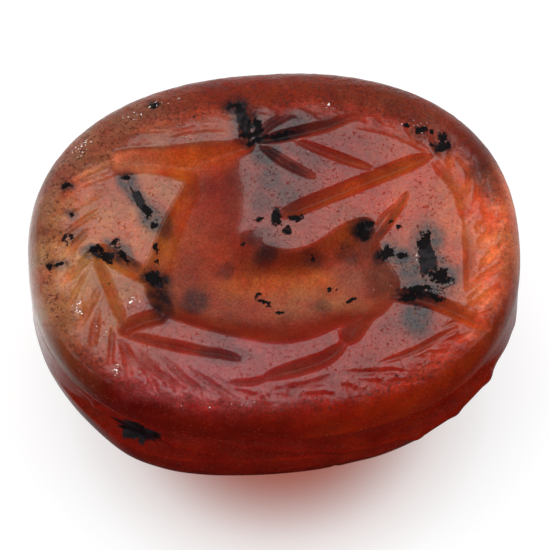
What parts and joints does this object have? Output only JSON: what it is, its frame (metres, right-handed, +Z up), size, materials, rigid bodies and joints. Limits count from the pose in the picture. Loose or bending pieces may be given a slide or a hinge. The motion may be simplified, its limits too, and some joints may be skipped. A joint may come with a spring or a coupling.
{
  "type": "scarab seal",
  "caption": "Carnelian seal stone cut as a beetle on an oval base, drilled lengthwise, with a stag sunk in its flat face inside a hatched border.",
  "frame": {"origin": "on the ground under the middle of the stone as it lies on the beetle's back", "axes": "+X along the length towards the beetle's head, +Z up out of the flat seal face"},
  "size_m": [0.016, 0.013, 0.0079],
  "materials": {
    "carnelian": "polished, translucent",
    "black_mineral": "dull black"
  },
  "bodies": {
    "root": {"scarab_stone": "carnelian", "antler_inclusion": "black_mineral", "neck_inclusion": "black_mineral", "knee_inclusion": "black_mineral", "chest_inclusion": "black_mineral", "spear_inclusion": "black_mineral", "rump_inclusion": "black_mineral", "rear_inclusion": "black_mineral", "rim_inclusion": "black_mineral", "side_inclusion": "black_mineral"}
  },
  "joints": []
}
